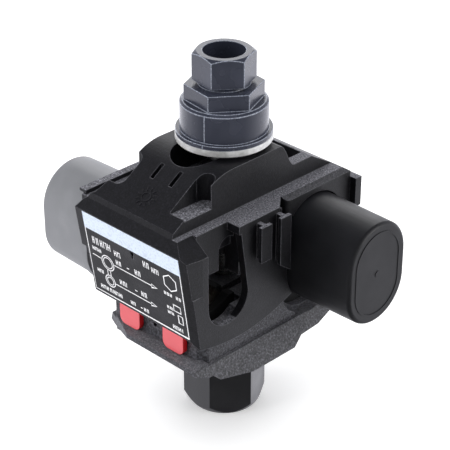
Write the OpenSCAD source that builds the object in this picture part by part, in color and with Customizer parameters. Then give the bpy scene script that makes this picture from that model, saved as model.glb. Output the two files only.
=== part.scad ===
// Insulation piercing connector: two moulded jaws, drawn together by one bolt and a shear nut.
// Millimetres. +Z runs up the bolt, +X along the conductors and -Y faces the tap side.
// The origin is the middle of the face that the connector stands on. The jaws are shown open.

/* [Jaws] */
// Half length of the jaws along the conductors
face_x = 18; // [17.5:0.1:19]
// Half length of the raised bridge under the washer
bridge_x = 11.6; // [11.4:0.1:12]
// Wall thickness of the mouldings
wall = 2; // [1.8:0.1:2.2]
// Height of the ledge at the foot of the bridge
ledge_z = 59.7; // [59:0.1:61]
// Height of the washer seat
seat_z = 71; // [69:0.5:74]
// Distance of the label panel's lower edge from the bolt axis
panel_foot = 26.35; // [25.8:0.05:27]
// Lean of the label panel
panel_lean = 8.5; // [6:0.5:10]
// Distance of the back lip from the bolt axis
back_y = 27; // [26.5:0.1:28]
// Height of the lower jaw's rim on the end sides
rim_z = 26.2; // [25.5:0.1:26.6]
// Gap between the sliding walls of the two jaws
slide_gap = 0.5; // [0.4:0.05:0.7]
// Distance of the tap conductor from the bolt axis
tap_reach = 16.7; // [16.3:0.1:17]
// Distance of the main conductor from the bolt axis
main_reach = 12.8; // [12.5:0.1:13.2]

/* [Clamp] */
// Diameter of the bolt
bolt_d = 8; // [7.8:0.1:8.2]
// Thread pitch
pitch = 1.25; // [1:0.05:1.3]
// Turns of the nut from open to closed
turns = 4; // [3:0.5:4]
// Size over the flats of the bolt head and the steel nut
bolt_af = 13; // [12.8:0.1:13.2]
// Height of the bolt head
bolt_head_h = 5.3; // [5:0.1:6]
// Height of the steel nut
insert_h = 6.5; // [6:0.1:6.8]
// Size over the flats of the head cover
cover_af = 17.45; // [17:0.05:18]
// Height of the head cover
cover_h = 20; // [19.5:0.1:20.4]
// How far the washer stands out past the nut's flange
washer_over = 0.1; // [0:0.05:0.3]
// Thickness of the washer
washer_t = 1.5; // [1.2:0.1:2]
// Thickness of the spring's wire
spring_wire = 0.9; // [0.7:0.1:1]
// Coils in the spring
spring_coils = 7; // [5:1:9]

/* [Shear nut] */
// Size over the flats of the hexagon that breaks off
drive_af = 12.7; // [12.5:0.1:13]
// Height of the hexagon that breaks off
drive_h = 6.85; // [6:0.1:8]
// Radius of the hole in the hexagon that breaks off
drive_hole_r = 4.83; // [4.6:0.05:4.95]
// Height of the shear neck
shear_h = 0.85; // [0.6:0.05:1.2]
// Size over the flats of the hexagon that stays
release_af = 15.9; // [15.5:0.1:16.5]
// Height of the hexagon that stays
release_h = 3.75; // [3.2:0.1:4.5]
// Radius of the collar
collar_r = 10.1; // [9.8:0.1:10.4]
// Height of the collar
collar_h = 7.1; // [6.8:0.1:8]
// Height of the flange
flange_h = 1.05; // [0.8:0.05:1.3]

/* [End caps] */
// Radius of an end cap at its base
cap_r = 9.9; // [9.7:0.1:10]
// Height of an end cap's straight sides
cap_straight = 6.3; // [6:0.1:6.4]
// Height of the lower round of the main cap
cap_z = 41.2; // [41:0.05:41.3]
// How much higher the tap cap sits
tap_cap_rise = 2; // [1.8:0.1:2]
// Length of the main cap
main_cap_len = 22; // [20:0.2:24]
// Length of the tap cap
tap_cap_len = 16.4; // [15:0.2:18]
// Wall thickness of an end cap
cap_wall = 1.4; // [1.2:0.1:1.6]

/* [Contacts] */
// Distance of the contact blades from the bolt axis
blade_x = 8; // [7.8:0.1:8.3]
// Thickness of the blades
blade_t = 1.8; // [1.5:0.1:2]
// Depth of the teeth
tooth_h = 1.6; // [1.2:0.1:1.8]
// Pitch of the teeth
tooth_pitch = 2.1; // [1.9:0.1:2.2]
// Height of the seals beside the teeth
seal_h = 3.4; // [3:0.1:3.6]

/* [Indicator tabs] */
// Width of a red tab
tab_w = 6.8; // [6:0.1:7.5]
// Distance of the tabs from the middle
tab_x = 7.25; // [6.5:0.05:7.5]
// How far the tabs stand out of the neck
tab_proud = 1.4; // [1:0.1:1.5]

/* [Hidden] */
$fn = 64;

// Clearances
eps = 0.01;                  // overlap of a cut past the face it opens on
run_gap = 0.05;              // running clearance of the bolt and of the pieces set in slots
cap_gap = 0.3;               // clearance round an end cap
close_gap = 0.35;            // room left between the jaws when the nut is fully down

// Heights of the closing jaws
stroke = pitch * turns;
neck_top = 37.5;
front_rim_z = rim_z + 0.9;
skirt_z = rim_z + stroke + close_gap;
panel_z = skirt_z + 3.25;
window_z = 42.6;
ceiling_z = 53;
upper_boss_z = neck_top + stroke + 3.5;
seat_wall_z = neck_top + stroke + 1.9;
hood_z = ledge_z - wall;

// Places across the jaws
tap_y = -tap_reach;
main_y = main_reach;
panel_top_z = ledge_z - 2.3;
bevel_depth = 2.2;
bevel_y = panel_y(panel_top_z) + bevel_depth;
roof_z = seat_z - 0.9;
roof_slope = 33;
crown_y = 6.3;
rear_z = ledge_z + 4.2;
rear_y = 11;
back_top_y = back_y - 3;
back_lip_z = ledge_z - 2.2;
neck_x = face_x - wall - slide_gap;
neck_front = -panel_foot + wall + slide_gap + tab_proud;
boss_y = 8;
inner_wall_x = bridge_x + 1.7;
main_seat_x = face_x - 2 * wall;
tap_seat_x = face_x;
pillar_end = main_y - cap_r - 2 * cap_gap;
shelf_end = pillar_end - 2.9;
hood_y = pillar_end + 1;
window_r = 6.2;
strip_x = bridge_x + 2.7;
tap_flange_r = cap_r + 0.3;
cap_foot = 2;
flange_out = 1;
washer_r = collar_r + flange_out + washer_over;
nut_z = seat_z + washer_t;
bolt_head_z = 3;
bolt_end = nut_z + 8;
bore_r = bolt_d / 2 + 0.3;
spring_r = bolt_d / 2 + 0.4 + spring_wire / 2;
spring_bore_r = spring_r + spring_wire / 2 + 0.3;
spring_low = rim_z;
spring_high = ceiling_z + 3;
slot_x = blade_t / 2 + run_gap;
seal_x = bridge_x - 0.3;
upper_blade_y = [tap_y - 5.2, main_y + 6.2];
lower_blade_y = [tap_y - 2.7, main_y + 5.8];
blade_seat = 1.2;
tap_floor = 33;
main_floor = 27;
spigot_r = 6.2;
nut_chamfer = 0.6;
shear_cut = 0.4;              // depth of the shear neck below the drive hexagon's flats
tap_hollow_r = 8.2;           // radius of the hollows in the tap seals
main_hollow_r = 8.6;          // radius of the hollows in the main seals
upper_bite = 1.6;             // depth of the hollows in the upper seals
lower_tap_rise = 1.6;         // how far the lower seals stand above the height of the upper ones
lower_main_rise = 2.6;
lower_drop = 6.4;             // height of the conductors' centres above the lower seals
peg_w = 4;
peg_h = 3;
peg_z = 32;
peg_len = 1.5;
tab_corner_r = 1.8;

black_moulding = [0.17, 0.17, 0.185];
black_gloss = [0.13, 0.13, 0.14];
nut_grey = [0.36, 0.38, 0.43];
cap_grey = [0.62, 0.63, 0.65];
steel = [0.75, 0.75, 0.74];
tinned_copper = [0.72, 0.66, 0.58];
seal_rubber = [0.1, 0.1, 0.11];
tab_red = [0.83, 0.2, 0.18];

// The label panel's front face at a height
function panel_y(z) = -panel_foot - tan(panel_lean) * (z - panel_z);

// Points of an arc, from one angle to another
function arc(c, r, a0, a1, n = 12) =
    [for (i = [0:n]) let (a = a0 + (a1 - a0) * i / n) [c[0] + r * cos(a), c[1] + r * sin(a)]];

// A (y, z) outline drawn out along X
module along_x(x0, x1) {
    translate([x0, 0, 0]) rotate([90, 0, 90]) linear_extrude(x1 - x0) children();
}

// An (x, z) outline drawn out along Y
module along_y(y0, y1) {
    translate([0, y1, 0]) rotate([90, 0, 0]) linear_extrude(y1 - y0) children();
}

module rod_x(x0, x1, y, z, r) {
    translate([x0, y, z]) rotate([0, 90, 0]) cylinder(h = x1 - x0, r = r);
}

module block(low, high) {
    translate(low) cube(high - low);
}

module hexagon(af, h) {
    cylinder(h = h, r = af / sqrt(3), $fn = 6);
}

// An upright slot with round ends along Y
module obround(y0, y1, r, z0, z1) {
    for (y = [y0 + r, y1 - r])
        translate([0, y, z0]) cylinder(h = z1 - z0, r = r);
    block([-r, y0 + r, z0], [r, y1 - r, z1]);
}

// Upper jaw

// The jaw's section under its roof, from the label panel to the back lip
function jaw_underside() = [
    [back_y, back_lip_z], [back_y, 50], [back_y - 2.5, 50], [back_y - 2.5, ceiling_z],
    [boss_y, ceiling_z], [boss_y, upper_boss_z], [-boss_y, upper_boss_z], [-boss_y, ceiling_z],
    [panel_y(ceiling_z) + wall / 2, ceiling_z], [panel_y(panel_top_z), panel_top_z]
];

// The bridge's roof: a straight front slope, an arc to the flat crown, a curved step and a low back
function bridge_roof() = let (
    nose = [bevel_y + 0.4, ledge_z + 1.2],
    r = min(14, 0.9 * (roof_z - nose[1]) / (1 - cos(roof_slope))),
    peak_y = nose[0] + (roof_z - nose[1]) / tan(roof_slope),
    centre = [peak_y + r * tan(roof_slope / 2), roof_z - r],
    fall = roof_z - rear_z,
    run = rear_y - crown_y
) concat(
    [[bevel_y, ledge_z], nose],
    arc(centre, r, 90 + roof_slope, 90, 8),
    [for (i = [0:8]) [crown_y + run * i / 8, rear_z + fall * (1 + cos(180 * i / 8)) / 2]],
    [[17, rear_z], [back_top_y, ledge_z]]
);

// The jaw's top from y0 to y1, cut to the slope behind the ledge, down to z0
function under_ledge(y0, y1, z0) = let (
    fall = (ledge_z - back_lip_z) / (back_y - back_top_y),
    end_z = ledge_z - max(0, y1 - back_top_y) * fall
) [[y0, z0], [y1, z0], [y1, end_z], [min(y1, back_top_y) - eps, ledge_z], [y0, ledge_z]];

module bridge() {
    along_x(-bridge_x, bridge_x) polygon(concat(bridge_roof(), jaw_underside()));
    along_x(-inner_wall_x, inner_wall_x)
        polygon(concat([[bevel_y, ledge_z], [back_top_y, ledge_z]], jaw_underside()));
    translate([0, 0, roof_z - 1]) cylinder(h = seat_z - roof_z + 1, r = washer_r - 1.5);
    front_fin();
}

// The roof's front corner on the tap cap's end, which spreads out to the label panel
module front_fin() {
    intersection() {
        along_x(-face_x, -bridge_x + eps) polygon(concat(bridge_roof(), jaw_underside()));
        translate([0, 0, hood_z - 1]) linear_extrude(10) polygon([
            [-bridge_x + eps, bevel_y + 5.4], [-bridge_x - 1.9, bevel_y + 4.1],
            [-bridge_x - 2.8, bevel_y + 1], [-face_x + 1.2, bevel_y - 0.4],
            [-face_x, bevel_y - bevel_depth], [-bridge_x + eps, bevel_y - bevel_depth]
        ]);
    }
}

module label_panel(x0, x1, z0, t) {
    along_x(x0, x1) polygon([
        [panel_y(z0), z0], [panel_y(panel_top_z), panel_top_z],
        [panel_y(panel_top_z) + t, panel_top_z], [panel_y(z0) + t, z0]
    ]);
}

// The end wall round the tap window: a bowed lower edge, and a back edge that follows the main cap
module window_wall() {
    bow_y = -13.6;
    bow_r = 42;
    bow_z = skirt_z + bow_r;
    edge_r = cap_r + 2 * cap_gap;
    // The corner where the bow meets the cap's edge, as an angle from either centre
    apart = norm([main_y - bow_y, cap_z - bow_z]);
    toward = atan2(cap_z - bow_z, main_y - bow_y);
    bow_meet = toward + 360 - acos(
        (pow(bow_r, 2) + pow(apart, 2) - pow(edge_r, 2)) / (2 * bow_r * apart));
    edge_meet = toward + 180 + acos(
        (pow(edge_r, 2) + pow(apart, 2) - pow(bow_r, 2)) / (2 * edge_r * apart));
    // That corner is cut off by these angles
    bow_cut = 0.2171;
    edge_cut = 0.3434;
    difference() {
        along_x(face_x - wall, face_x) polygon(concat(
            [[panel_y(panel_top_z), panel_top_z], [panel_y(panel_z), panel_z]],
            arc([bow_y, bow_z], bow_r, 253.6, bow_meet - bow_cut, 12),
            arc([main_y, cap_z], edge_r, edge_meet - edge_cut, 180, 6),
            [[pillar_end, hood_z - 2.4], [shelf_end, hood_z - 1]],
            [[shelf_end, ledge_z], [bevel_y, ledge_z]]
        ));
        tap_window();
    }
    translate([0, 0, hood_z]) linear_extrude(ledge_z - hood_z) polygon([
        [bridge_x, -13.4], [face_x, -13.4], [face_x, shelf_end],
        [main_seat_x + 0.6, hood_y], [bridge_x, hood_y]
    ]);
    along_x(bridge_x, face_x) polygon([
        [panel_y(panel_top_z), panel_top_z], [bevel_y, ledge_z], [tap_y - window_r, ledge_z],
        [tap_y - window_r, hood_z - 1.5], [panel_y(hood_z - 1.5) + wall / 2, hood_z - 1.5]
    ]);
    block([bridge_x, -11.5, upper_boss_z], [face_x - wall + eps, pillar_end, hood_z + eps]);
}

// A small keyhole in the label panel, just under the pale strip
module panel_keyhole() {
    up = 17.5;
    depth = 1;
    translate([0, -panel_foot, panel_z]) rotate([panel_lean, 0, 0]) {
        translate([0, depth, up]) rotate([90, 0, 0]) cylinder(h = depth + 1, r = 0.6, $fn = 32);
        block([-0.28, -1, up - 1.6], [0.28, depth, up]);
    }
}

// The near corner beside the label: a slope down from the ledge, a narrow upright bevel and, over a
// short step, a face that leans in towards the bevel
module corner_cuts() {
    bevel = 2.2;
    slope = 0.73;
    start = bridge_x + 1.6;
    step_z = window_z + 4.3;
    along_y(-40, tap_y - window_r + eps) polygon([
        [start, ledge_z + eps], [face_x + 1, ledge_z + eps],
        [face_x + 1, ledge_z - slope * (face_x + 1 - start)]
    ]);
    translate([face_x, -panel_foot, panel_z]) rotate([panel_lean, 0, 0]) translate([0, 0, -5])
        linear_extrude(40) polygon([[-bevel, -eps], [eps, -eps], [eps, 0.3 * bevel]]);
    translate([0, 0, step_z]) linear_extrude(20)
        polygon([[face_x + eps, tap_y - window_r - 1.6], [face_x + 1, -40], [face_x - 1.4, -40]]);
}

// The window is round below and narrows a little towards the ledge
module tap_window() {
    along_x(face_x - wall - 1, face_x + 1) polygon(concat(
        arc([tap_y, window_z], window_r, 180, 360, 24),
        [[tap_y + window_r - 2.6, ledge_z + 1], [tap_y - window_r, ledge_z + 1]]
    ));
}

// A guide rail of T section on an end face
module guide_rail(y, z0, slant) {
    stem = 1.2;
    flange_w = 3.3;
    top = ledge_z - 1.2;
    block([face_x - eps, y - stem / 2, z0 + slant], [face_x + 1.7, y + stem / 2, top]);
    along_x(face_x + 1.6, face_x + 2.5)
        polygon([[y - flange_w / 2, z0 + slant], [y + flange_w / 2, z0],
                 [y + flange_w / 2, top], [y - flange_w / 2, top]]);
}

// The wall that an end cap seats on, arched for the conductor, with a half collar inside the cap
module cap_seat(x, y, z, y0, y1) {
    centre = z + cap_straight;
    arch_r = 6.5;
    collar_len = 3.5;
    ring = cap_r - cap_wall - cap_gap;
    difference() {
        union() {
            along_x(x - wall, x) polygon(under_ledge(y0, y1, seat_wall_z));
            along_x(bridge_x, x) polygon(under_ledge(y0, y1, hood_z));
            intersection() {
                rod_x(x - eps, x + collar_len, y, centre, ring);
                block([x - 1, y - ring, centre - 1.5], [x + collar_len, y + ring, centre + ring]);
            }
        }
        rod_x(x - wall - 1, x + collar_len + 1, y, centre - 1.5, arch_r);
        block([x - wall - 1, y - arch_r, seat_wall_z - 1], [x + collar_len + 1, y + arch_r, centre - 1.5]);
    }
}

// The hood round the main cap: an arch that follows the cap, with a sloping top and a round front end
module cap_hood(x, y0, y1) {
    reach = 2.6;
    nose_r = 1.2;
    opening = cap_r + cap_gap;
    centre = cap_z + cap_straight;
    difference() {
        intersection() {
            along_y(y0, y1) polygon([
                [bridge_x, 50], [x + reach, 50], [x + reach, ledge_z - 0.7],
                [x + 1, ledge_z], [bridge_x, ledge_z]
            ]);
            translate([0, 0, 49]) linear_extrude(ledge_z) polygon(concat(
                [[bridge_x, y1], [bridge_x, y0]],
                arc([x + reach - nose_r, y0 + nose_r], nose_r, -90, 0, 6),
                [[x + reach, y1]]
            ));
            along_x(bridge_x, x + reach) polygon(concat(
                under_ledge(main_y, y1, 50),
                [[y0, ledge_z], [y0, hood_z - 3], [main_y, hood_z - 3]]
            ));
        }
        rod_x(bridge_x - 1, x + reach + 1, main_y, centre, opening);
        block([bridge_x - 1, main_y - opening, 45], [x + reach + 1, main_y + opening, centre]);
    }
}

// The inner end wall behind the window, with an arch beside the pillar
module window_back() {
    arch_r = 2.9;
    arch_y = tap_y + 3.5;
    arch_z = 53;
    low = 48.4;
    difference() {
        block([bridge_x - eps, -24.6, low], [strip_x, -boss_y, ledge_z]);
        rod_x(bridge_x - 1, strip_x + 1, arch_y, arch_z, arch_r);
        block([bridge_x - 1, arch_y - arch_r, low - 1], [strip_x + 1, arch_y + arch_r, arch_z]);
    }
}

// The end with the tap window and the main cap
module window_end() {
    window_wall();
    window_back();
    guide_rail(-7.2, ledge_z - 10.1, 0);
    guide_rail(-1, ledge_z - 15.5, 2.4);
    cap_seat(main_seat_x, main_y, cap_z, pillar_end - 1, back_y);
    cap_hood(main_seat_x, hood_y, back_y - wall + eps);
    block([main_seat_x - wall, back_y - wall, 50], [face_x + 0.4, back_y, back_lip_z]);
    block([bridge_x, 0, 48], [main_seat_x, pillar_end + 0.9, ledge_z]);
}

// A low lip along the ledge, which reaches out over the tap cap's flange
module cap_lip(x, y0, y1) {
    inner = 0.9;
    reach = 1.3;
    low = cap_z + tap_cap_rise + cap_straight + tap_flange_r + cap_gap;
    along_y(y0, y1) polygon([
        [x - inner, ledge_z - eps], [x, ledge_z - eps], [x, low], [x + reach, low],
        [x + reach, low + 0.7], [x - inner, low + 0.7]
    ]);
}

// The other end, with the tap cap and an open main side (drawn at +X and turned about)
module open_end() {
    pillar = 6;
    main_arch_r = 9;
    cap_seat(tap_seat_x, tap_y, cap_z + tap_cap_rise, panel_y(seat_wall_z) + wall / 2, -pillar);
    block([bridge_x, bevel_y, hood_z], [tap_seat_x, panel_y(seat_wall_z) + wall, ledge_z]);
    block([bridge_x, -pillar - eps, upper_boss_z], [face_x, pillar, ledge_z]);
    cap_lip(tap_seat_x, bevel_y + 0.5, -pillar - 2);
    for (y = [-3.2, 3.2])
        guide_rail(y, ledge_z - 10.1, 0);
    difference() {
        along_x(bridge_x, face_x) polygon(under_ledge(pillar - eps, back_y, 46));
        rod_x(bridge_x - 1, face_x + 1, main_y + 2.4, 46, main_arch_r);
    }
}

// Deep slot round the bolt, notches in the sides of the front slope, blind slots and the rear pocket
module bridge_pockets() {
    floor_z = ledge_z + 2.9;
    obround(-14.7, 9, 5.9, ceiling_z + 10, seat_z + 1);
    side_notch(7, bridge_x + 1, -23.8, -15.6, floor_z, 0.4);
    mirror([1, 0, 0]) side_notch(9.3, bridge_x + 3, -23.2, -15.6, floor_z, 2);
    translate([9.3, -15.2, floor_z]) cylinder(h = 10, r = 2.2);
    for (x = [-3.6, 2.3])
        block([x - 0.55, -19.2, ceiling_z + 8], [x + 0.55, -15.6, seat_z]);
    block([-8.5, 9.6, ledge_z + 1.3], [8.5, 16.6, seat_z - 1]);
}

// A notch in a side of the bridge, with two rounded corners
module side_notch(x0, x1, y0, y1, z, r) {
    for (y = [y0 + r, y1 - r])
        translate([x0 + r, y, z]) cylinder(h = 10, r = r);
    block([x0 + r, y0, z], [x1, y1, z + 10]);
    block([x0, y0 + r, z], [x0 + r, y1 - r, z + 10]);
}

module upper_jaw() {
    color(black_moulding) difference() {
        union() {
            bridge();
            label_panel(wall - face_x, face_x, panel_z, wall);
            label_panel(-face_x, 0, ledge_z - 12.7, 1.2);
            window_end();
            mirror([1, 0, 0]) open_end();
        }
        bridge_pockets();
        corner_cuts();
        panel_keyhole();
        translate([0, 0, upper_boss_z - 1]) cylinder(h = seat_z, r = bore_r);
        translate([0, 0, upper_boss_z - 1])
            cylinder(h = spring_high - upper_boss_z + 1, r = spring_bore_r);
        for (side = [-1, 1])
            translate([side * blade_x - slot_x, 0, 0])
                upper_blade_slot();
    }
}

module upper_blade_slot() {
    block([0, upper_blade_y[0] - run_gap, upper_boss_z - 1],
          [2 * slot_x, upper_blade_y[1] + run_gap, ceiling_z + blade_seat + run_gap]);
}

// Lower jaw

// The rim: sides that flare downwards, over an arched lower edge
module rim() {
    intersection() {
        along_y(-40, 40) polygon([
            [-face_x - 0.6, cover_h], [face_x + 0.6, cover_h], [neck_x + 0.7, rim_z],
            [neck_x + 0.7, rim_z + 9], [-neck_x - 0.7, rim_z + 9], [-neck_x - 0.7, rim_z]
        ]);
        along_x(-40, 40) polygon([
            [neck_front - 3.1, rim_z - 1], [neck_front - 3.1, rim_z + 0.2],
            [neck_front - 0.6, front_rim_z], [neck_front + 1, front_rim_z],
            [neck_front + 1, rim_z], [20, rim_z], [21.5, rim_z - 1.2],
            [20, rim_z - 2.2], [14, cover_h + 2.2], [8, cover_h + 1.9], [5, cover_h], [-9, cover_h],
            [-19, cover_h + 2.2], [-19.8, cover_h + 3.8], [-22, cover_h + 3.8]
        ]);
    }
}

// The neck that slides inside the upper jaw, with chamfered front corners
module neck() {
    chamfer = 2;
    translate([0, 0, rim_z - 3]) linear_extrude(neck_top - rim_z + 3) polygon([
        [-neck_x, -boss_y], [-neck_x, neck_front + chamfer], [-neck_x + chamfer, neck_front],
        [neck_x - chamfer, neck_front], [neck_x, neck_front + chamfer], [neck_x, -boss_y]
    ]);
    block([-neck_x, -boss_y - eps, rim_z - 3], [neck_x, boss_y, neck_top]);
    block([-neck_x, boss_y - eps, rim_z - 3],
          [main_seat_x - cap_gap, lower_blade_y[1] + 1.1 + wall, rim_z + 4.8]);
}

// Troughs for the seals and the round-bottomed ways for the conductors
module neck_cuts() {
    tap_notch_r = 6.6;
    main_notch_r = 9;
    block([-neck_x + wall, neck_front + wall, tap_floor], [neck_x - wall, -boss_y, neck_top + 1]);
    rod_x(-neck_x - 1, neck_x + 1, tap_y, tap_floor + 9, tap_notch_r);
    block([-neck_x + wall, boss_y, main_floor],
          [main_seat_x - cap_gap - wall, lower_blade_y[1] + 1.1, neck_top]);
    rod_x(-neck_x - 1, neck_x + 1, main_y, main_floor + main_notch_r, main_notch_r);
}

// Room for the main cap when the jaws are closed
module cap_scallop() {
    r = cap_r + cap_gap;
    closed_z = cap_z - stroke;
    rod_x(main_seat_x - cap_gap, face_x + 5, main_y, closed_z, r);
    block([main_seat_x - cap_gap, main_y - r, closed_z], [face_x + 5, main_y + r, neck_top + 5]);
}

// The slanting cut across the rim's corner under the tap cap, and the end of the raised front there
module rim_corner_cut() {
    translate([0, 0, cover_h - 1]) linear_extrude(front_rim_z - cover_h + 2)
        polygon([[-6.5, neck_front - 3.15], [-40, neck_front + 11.55], [-40, -60], [-6.5, -60]]);
    block([-neck_x - 5, neck_front - 5, rim_z], [-neck_x + 2, neck_front + 2, rim_z + 5]);
}

module lower_jaw() {
    color(black_moulding) difference() {
        union() {
            difference() {
                rim();
                rim_corner_cut();
            }
            neck();
            translate([0, 0, bolt_head_z + bolt_head_h]) cylinder(h = cover_h, r = spigot_r);
        }
        neck_cuts();
        cap_scallop();
        translate([0, 0, bolt_head_z]) cylinder(h = neck_top, r = bolt_d / 2 + run_gap);
        translate([0, 0, spring_low]) cylinder(h = neck_top, r = spring_bore_r);
        for (side = [-1, 1])
            translate([side * blade_x - slot_x, 0, 0])
                block([0, lower_blade_y[0] - run_gap, tap_floor - blade_seat - run_gap],
                      [2 * slot_x, boss_y + 0.5, neck_top + 1]);
        for (side = [-1, 1])
            translate([side * tab_x, 0, 0])
                tab_peg(run_gap);
        translate([0, neck_front + 1.2, rim_z + 4.3]) rotate([90, 0, 0])
            cylinder(h = 3, r = 0.6, $fn = 24);
    }
}

// Clamp

module clamp_bolt() {
    color(steel) {
        translate([0, 0, bolt_head_z]) hexagon(bolt_af, bolt_head_h);
        translate([0, 0, bolt_head_z]) cylinder(h = bolt_end - bolt_head_z - 1, r = bolt_d / 2);
        translate([0, 0, bolt_end - 1]) cylinder(h = 1, r1 = bolt_d / 2, r2 = bolt_d / 2 - 0.9);
    }
}

module bolt_head_cover() {
    corner = cover_af / sqrt(3);
    hex_turn = -5.5;
    color(black_gloss) difference() {
        intersection() {
            rotate([0, 0, hex_turn]) hexagon(cover_af, cover_h);
            rotate_extrude() polygon([
                [0, 0], [corner - 1.7, 0], [corner + 0.2, 2.6], [corner + 0.2, cover_h], [0, cover_h]
            ]);
        }
        translate([0, 0, bolt_head_z]) hexagon(bolt_af + 2 * run_gap, bolt_head_h + eps);
        translate([0, 0, bolt_head_z + bolt_head_h]) cylinder(h = cover_h, r = spigot_r + run_gap);
    }
}

module shear_nut() {
    hex_turn = -8;
    collar_z = nut_z + flange_h;
    release_z = collar_z + collar_h;
    shear_z = release_z + release_h;
    drive_z = shear_z + shear_h;
    drive_corner = drive_af / sqrt(3);
    color(nut_grey) difference() {
        union() {
            translate([0, 0, nut_z]) cylinder(h = flange_h, r = collar_r + flange_out);
            translate([0, 0, collar_z]) cylinder(h = collar_h - nut_chamfer, r = collar_r);
            translate([0, 0, release_z - nut_chamfer])
                cylinder(h = nut_chamfer, r1 = collar_r, r2 = collar_r - nut_chamfer);
            translate([0, 0, release_z - eps]) rotate([0, 0, hex_turn])
                hexagon(release_af, release_h + eps);
            translate([0, 0, shear_z - eps]) cylinder(h = shear_h + 2 * eps, r = drive_af / 2 - shear_cut);
            intersection() {
                translate([0, 0, drive_z]) rotate([0, 0, hex_turn]) hexagon(drive_af, drive_h);
                translate([0, 0, drive_z]) rotate_extrude() polygon([
                    [0, 0], [drive_corner + 0.1, 0], [drive_corner + 0.1, drive_h - 0.7],
                    [drive_corner - 1.1, drive_h], [0, drive_h]
                ]);
            }
        }
        translate([0, 0, nut_z - 1]) hexagon(bolt_af + 2 * run_gap, insert_h + 1);
        translate([0, 0, nut_z]) cylinder(h = 40, r = drive_hole_r);
    }
}

module nut_insert() {
    color(steel) translate([0, 0, nut_z]) difference() {
        hexagon(bolt_af, insert_h);
        translate([0, 0, -1]) cylinder(h = insert_h + 2, r = bolt_d / 2 + run_gap);
    }
}

module washer() {
    color(steel) translate([0, 0, seat_z]) difference() {
        cylinder(h = washer_t, r = washer_r);
        translate([0, 0, -1]) cylinder(h = washer_t + 2, r = bore_r);
    }
}

// Coil spring round the bolt, one ring of points for each step along the helix
module jaw_spring() {
    sides = 6;
    steps = 14 * spring_coils;
    half = spring_wire / 2;
    low = spring_low + half + 0.05;
    high = spring_high - half - 0.05;
    rings = [for (i = [0:steps]) let (a = 360 * spring_coils * i / steps)
        for (k = [0:sides - 1]) let (b = 360 * k / sides, r = spring_r + half * cos(b))
            [r * cos(a), r * sin(a), low + (high - low) * i / steps + half * sin(b)]];
    walls = [for (i = [0:steps - 1]) for (k = [0:sides - 1]) let (m = (k + 1) % sides)
        [i * sides + k, (i + 1) * sides + k, (i + 1) * sides + m, i * sides + m]];
    ends = [[for (k = [0:sides - 1]) k], [for (k = [sides - 1:-1:0]) steps * sides + k]];
    color(steel) polyhedron(points = rings, faces = concat(walls, ends), convexity = 10);
}

// Contacts and seals

// A row of teeth about y, whose tips rise from depth z at the middle to tip_rise more at the ends
function teeth(y, z, count, direction) = let (tip_rise = 0.8, half = count * tooth_pitch / 2) [
    for (i = [0:2 * count]) let (
        at = -half + i * tooth_pitch / 2,
        bow = tip_rise * pow(at / half, 2),
        tip = i % 2 == 1 ? tooth_h : 0
    ) [y + at, z + direction * (bow + tip)]
];

// The same points in the other order, mirrored about y
function mirrored(points, y) = [for (p = points) [2 * y - p[0], p[1]]];

// A (y, z) outline drawn out to a blade's thickness
module blade_plate(side) {
    along_x(side * blade_x - blade_t / 2, side * blade_x + blade_t / 2) children();
}

module upper_blade(side) {
    top = ceiling_z + blade_seat;
    root = ceiling_z - seal_h + 1;
    color(tinned_copper) blade_plate(side) polygon(concat(
        [[upper_blade_y[1], top], [upper_blade_y[0], top], [upper_blade_y[0], root]],
        teeth(tap_y, root, 4, -1),
        [[-boss_y, root + 1], [boss_y, root + 1]],
        teeth(main_y + 0.6, root, 5, -1),
        [[upper_blade_y[1], root]]
    ));
}

module lower_blade(side) {
    foot = tap_floor - blade_seat;
    tap_root = tap_floor + 4.6;
    main_root = main_floor + 5.6;
    color(tinned_copper) blade_plate(side) polygon(concat(
        [[lower_blade_y[0], foot], [boss_y + 0.4, foot], [boss_y + 0.4, main_floor],
         [lower_blade_y[1], main_floor], [lower_blade_y[1], main_root]],
        mirrored(teeth(main_y, main_root, 4, 1), main_y),
        [[boss_y, main_root + 2], [-boss_y, tap_root - 2]],
        mirrored(teeth(tap_y + 1.7, tap_root, 4, 1), tap_y + 1.7),
        [[lower_blade_y[0], tap_root]]
    ));
}

module upper_blade_left() { upper_blade(-1); }
module upper_blade_right() { upper_blade(1); }
module lower_blade_left() { lower_blade(-1); }
module lower_blade_right() { lower_blade(1); }

// A block of soft rubber with a hollow for the conductor and a slot for each blade
module seal(y0, y1, z0, z1, hollow_y, hollow_z, hollow_r, slot_y, x1) {
    x0 = -seal_x;
    color(seal_rubber) difference() {
        block([x0, y0, z0], [x1, y1, z1]);
        rod_x(x0 - 1, x1 + 1, hollow_y, hollow_z, hollow_r);
        for (side = [-1, 1])
            block([side * blade_x - slot_x, slot_y[0] - run_gap, z0 - 1],
                  [side * blade_x + slot_x, slot_y[1] + run_gap, z1 + 1]);
    }
}

module upper_tap_seal() {
    seal(upper_blade_y[0] - 1, -boss_y - 0.1, ceiling_z - seal_h, ceiling_z,
         tap_y, ceiling_z - seal_h - tap_hollow_r + upper_bite, tap_hollow_r, upper_blade_y, seal_x);
}

module upper_main_seal() {
    seal(boss_y + 0.1, upper_blade_y[1] + 1.8, ceiling_z - seal_h, ceiling_z,
         main_y + 0.6, ceiling_z - seal_h - main_hollow_r + upper_bite, main_hollow_r,
         upper_blade_y, seal_x);
}

module lower_tap_seal() {
    seal(neck_front + wall + 0.1, -boss_y - 0.1, tap_floor, tap_floor + seal_h + lower_tap_rise,
         tap_y + 1.7, tap_floor + seal_h + lower_tap_rise + lower_drop, tap_hollow_r,
         lower_blade_y, seal_x);
}

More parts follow.
